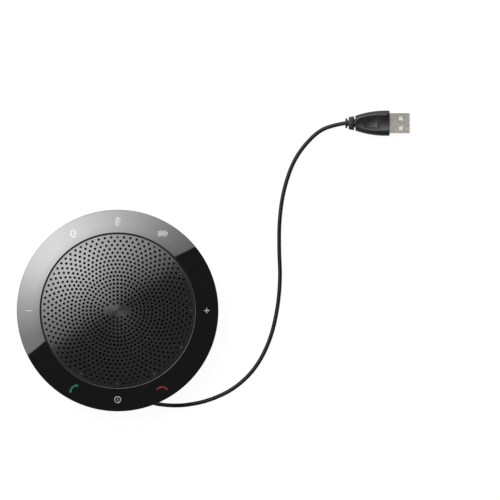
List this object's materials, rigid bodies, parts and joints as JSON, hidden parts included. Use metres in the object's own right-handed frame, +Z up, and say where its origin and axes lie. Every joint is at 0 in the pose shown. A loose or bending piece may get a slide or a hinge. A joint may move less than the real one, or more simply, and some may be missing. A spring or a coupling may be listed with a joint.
{
  "type": "conference speakerphone",
  "caption": "Round tabletop speakerphone: perforated domed grille in a glossy touch ring, on a narrower base with a cord wound round it and ending in a flat plug.",
  "frame": {"origin": "on the surface it stands on, under the middle of the disc", "axes": "+Z up, +X towards the plus symbol of the touch ring, +Y towards the muted-microphone symbol"},
  "size_m": [0.2338, 0.1791, 0.0329],
  "materials": {
    "foot_rubber": "matt moulded rubber",
    "housing_plastic": "fine-textured moulded plastic",
    "gloss_black": "gloss moulded plastic",
    "symbol_white": "translucent moulded plastic",
    "symbol_green": "translucent moulded plastic",
    "symbol_red": "translucent moulded plastic",
    "grille_paint": "satin paint",
    "cloth": "acoustic mesh",
    "clear_plastic": "frosted light pipe",
    "circuit_board": "solder mask",
    "component_black": "moulded epoxy",
    "component_pale": "moulded nylon",
    "foam": "closed-cell foam",
    "conductive_foam": "conductive foam",
    "battery_foil": "pouch foil",
    "bare_steel": "plated steel",
    "nickel": "nickel plate",
    "gold": "gold plate",
    "ferrite": "nickel-plated magnet",
    "paper_cone": "coated paper",
    "soft_rubber": "thin moulded rubber",
    "spider_cloth": "resin-dipped cloth",
    "copper_wire": "enamelled copper wire",
    "former_film": "polyimide film",
    "wire_sleeve": "extruded sleeve",
    "ribbon_film": "polyimide film",
    "cord_sleeve": "extruded elastomer",
    "plug_plastic": "moulded overmould",
    "tongue_plastic": "moulded insulator"
  },
  "bodies": {
    "root": {"foot_ring": "foot_rubber", "bottom_cover": "housing_plastic", "upper_housing": "housing_plastic", "housing_screws": "bare_steel", "white_symbols": "symbol_white", "answer_symbol": "symbol_green", "hangup_symbol": "symbol_red", "control_ring": "gloss_black", "grille": "grille_paint", "grille_cloth": "cloth", "light_pipes": "clear_plastic", "touch_board": "circuit_board", "ring_leds": "component_pale", "touch_pads": "conductive_foam", "battery_foam": "foam", "battery": "battery_foil", "battery_leads": "wire_sleeve", "battery_socket": "component_pale", "main_board": "circuit_board", "board_screws": "bare_steel", "processor_chip": "component_black", "amplifier_chip": "component_black", "power_chip": "component_black", "radio_module": "circuit_board", "radio_shield": "bare_steel", "capacitors": "component_black", "speaker_socket": "component_pale", "ribbon_cable": "ribbon_film", "ribbon_sockets": "component_pale", "headset_jack": "component_black", "speaker_yoke": "bare_steel", "speaker_magnet": "ferrite", "speaker_top_plate": "bare_steel", "speaker_frame": "bare_steel", "driver_screws": "bare_steel", "speaker_gasket": "foam", "speaker_surround": "soft_rubber", "speaker_spider": "spider_cloth", "speaker_terminals": "component_black", "speaker_leads": "wire_sleeve", "microphone_boot": "soft_rubber", "microphone": "bare_steel", "cord_grommet": "soft_rubber", "cord_tail": "cord_sleeve", "cord_socket": "component_pale", "cord_winding": "cord_sleeve", "cord_run": "cord_sleeve", "plug_overmould": "plug_plastic", "plug_shell": "nickel", "plug_tongue": "tongue_plastic", "plug_contacts": "gold"},
    "diaphragm": {"speaker_cone": "paper_cone", "dust_cap": "paper_cone", "coil_former": "former_film", "voice_coil": "copper_wire"}
  },
  "joints": [
    {"name": "cone_stroke", "type": "slide", "parent": "root", "child": "diaphragm", "axis": [0, 0, 1], "range_m": [-0.0015, 0.0015], "stiffness_N_per_m": 1200, "deforming": ["speaker_surround", "speaker_spider"]}
  ]
}
